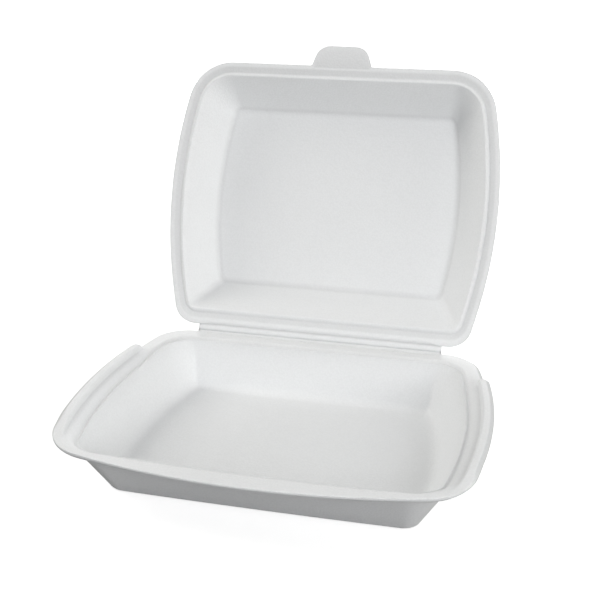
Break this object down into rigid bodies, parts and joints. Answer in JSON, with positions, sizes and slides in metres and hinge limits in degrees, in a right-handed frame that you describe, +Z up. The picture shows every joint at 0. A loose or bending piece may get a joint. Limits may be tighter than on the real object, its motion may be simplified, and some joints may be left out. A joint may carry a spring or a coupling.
{
  "type": "foam clamshell container",
  "caption": "White foam takeaway meal box with a hinged lid standing open, sloped walls, raised side ears and a rounded thumb tab.",
  "frame": {"origin": "middle of the flat foot, on the surface that the box stands on", "axes": "+Z up, -Y towards the front flange, +X to the right as seen from the front; the hinge line runs along X at the back"},
  "size_m": [0.2404, 0.2757, 0.2235],
  "materials": {
    "foam": "soft satin skin of expanded polystyrene foam"
  },
  "bodies": {
    "base": {"base_tray": "foam"},
    "lid": {"lid": "foam"}
  },
  "joints": [
    {"name": "lid_hinge", "type": "hinge", "parent": "base", "child": "lid", "pos_m": [0, 0.08815, 0.0371], "axis": [-1, 0, 0], "range_deg": [-111, 69]}
  ]
}
